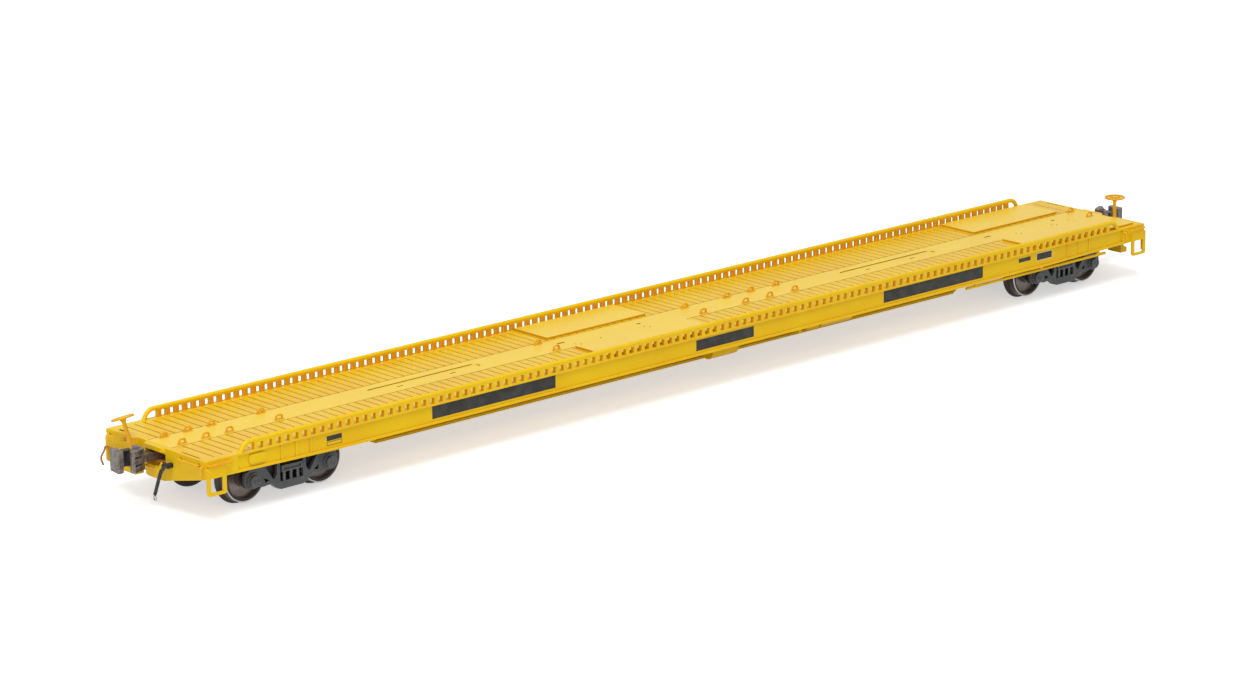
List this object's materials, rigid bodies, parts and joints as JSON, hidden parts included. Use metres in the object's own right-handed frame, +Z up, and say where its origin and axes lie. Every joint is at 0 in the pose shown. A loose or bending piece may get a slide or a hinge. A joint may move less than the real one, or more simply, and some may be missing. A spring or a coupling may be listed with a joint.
{
  "type": "long flatcar model",
  "caption": "Model of a long yellow piggyback flatcar: slotted guide rails on a grooved deck, fish-belly centre sill, sprung-look trucks and knuckle couplers.",
  "frame": {"origin": "below the middle of the car, at the height of the wheel flanges' lowest points", "axes": "+X lengthwise towards the right end, +Y across towards the far side, +Z up"},
  "size_m": [0.2787, 0.0336, 0.0175],
  "materials": {
    "yellow_body": "satin",
    "truck_grey": "matt",
    "wheel_metal": "blackened",
    "coupler_metal": "as cast",
    "hose_black": "satin",
    "screw_metal": "plain"
  },
  "bodies": {
    "root": {"air_hose_left": "hose_black", "air_hose_right": "hose_black", "air_reservoir": "yellow_body", "body_bolsters": "yellow_body", "brake_cylinder": "yellow_body", "brake_rigging": "yellow_body", "brake_staff_left": "yellow_body", "brake_staff_right": "yellow_body", "brake_steps": "yellow_body", "brake_valve": "yellow_body", "centre_sill": "yellow_body", "coupler_box_left": "yellow_body", "coupler_box_right": "yellow_body", "cross_bearers": "yellow_body", "cut_lever_left": "yellow_body", "cut_lever_right": "yellow_body", "deck": "yellow_body", "deck_wheel_pads": "yellow_body", "end_sill_left": "yellow_body", "end_sill_right": "yellow_body", "grab_irons": "yellow_body", "guide_rail_far": "yellow_body", "guide_rail_near": "yellow_body", "hose_handle_left": "yellow_body", "hose_handle_right": "yellow_body", "hose_loop_left": "screw_metal", "hose_loop_right": "screw_metal", "side_air_pipe": "yellow_body", "side_sill_far": "yellow_body", "side_sill_near": "yellow_body", "sill_steps": "yellow_body", "swivel_screw_left": "screw_metal", "swivel_screw_right": "screw_metal", "tie_down_rings": "yellow_body"},
    "wheelset_left_inner": {"axle_left_inner": "wheel_metal", "wheels_left_inner": "wheel_metal"},
    "wheelset_left_outer": {"axle_left_outer": "wheel_metal", "wheels_left_outer": "wheel_metal"},
    "wheelset_right_inner": {"axle_right_inner": "wheel_metal", "wheels_right_inner": "wheel_metal"},
    "wheelset_right_outer": {"axle_right_outer": "wheel_metal", "wheels_right_outer": "wheel_metal"},
    "coupler_left": {"coupler_left_knuckle": "coupler_metal", "coupler_left_shank": "coupler_metal"},
    "coupler_right": {"coupler_right_knuckle": "coupler_metal", "coupler_right_shank": "coupler_metal"},
    "truck_left": {"truck_left_bolster": "truck_grey", "truck_left_brakes": "truck_grey", "truck_left_frame_far": "truck_grey", "truck_left_frame_near": "truck_grey", "truck_left_springs": "truck_grey"},
    "truck_right": {"truck_right_bolster": "truck_grey", "truck_right_brakes": "truck_grey", "truck_right_frame_far": "truck_grey", "truck_right_frame_near": "truck_grey", "truck_right_springs": "truck_grey"}
  },
  "joints": [
    {"name": "truck_left_swivel", "type": "hinge", "parent": "root", "child": "truck_left", "pos_m": [-0.1087, 0, 0.0095], "axis": [0, 0, 1], "range_deg": [-12, 12]},
    {"name": "coupler_left_swing", "type": "hinge", "parent": "root", "child": "coupler_left", "pos_m": [-0.12485, 0, 0.01055], "axis": [0, 0, 1], "range_deg": [-2, 18]},
    {"name": "wheelset_left_outer_spin", "type": "hinge", "parent": "truck_left", "child": "wheelset_left_outer", "pos_m": [-0.11785, 0, 0.00545], "axis": [0, 1, 0], "continuous": true},
    {"name": "wheelset_left_inner_spin", "type": "hinge", "parent": "truck_left", "child": "wheelset_left_inner", "pos_m": [-0.09955, 0, 0.00545], "axis": [0, 1, 0], "continuous": true},
    {"name": "truck_right_swivel", "type": "hinge", "parent": "root", "child": "truck_right", "pos_m": [0.1087, 0, 0.0095], "axis": [0, 0, 1], "range_deg": [-12, 12]},
    {"name": "coupler_right_swing", "type": "hinge", "parent": "root", "child": "coupler_right", "pos_m": [0.12485, 0, 0.01055], "axis": [0, 0, 1], "range_deg": [-10, 10]},
    {"name": "wheelset_right_outer_spin", "type": "hinge", "parent": "truck_right", "child": "wheelset_right_outer", "pos_m": [0.11785, 0, 0.00545], "axis": [0, 1, 0], "continuous": true},
    {"name": "wheelset_right_inner_spin", "type": "hinge", "parent": "truck_right", "child": "wheelset_right_inner", "pos_m": [0.09955, 0, 0.00545], "axis": [0, 1, 0], "continuous": true}
  ]
}
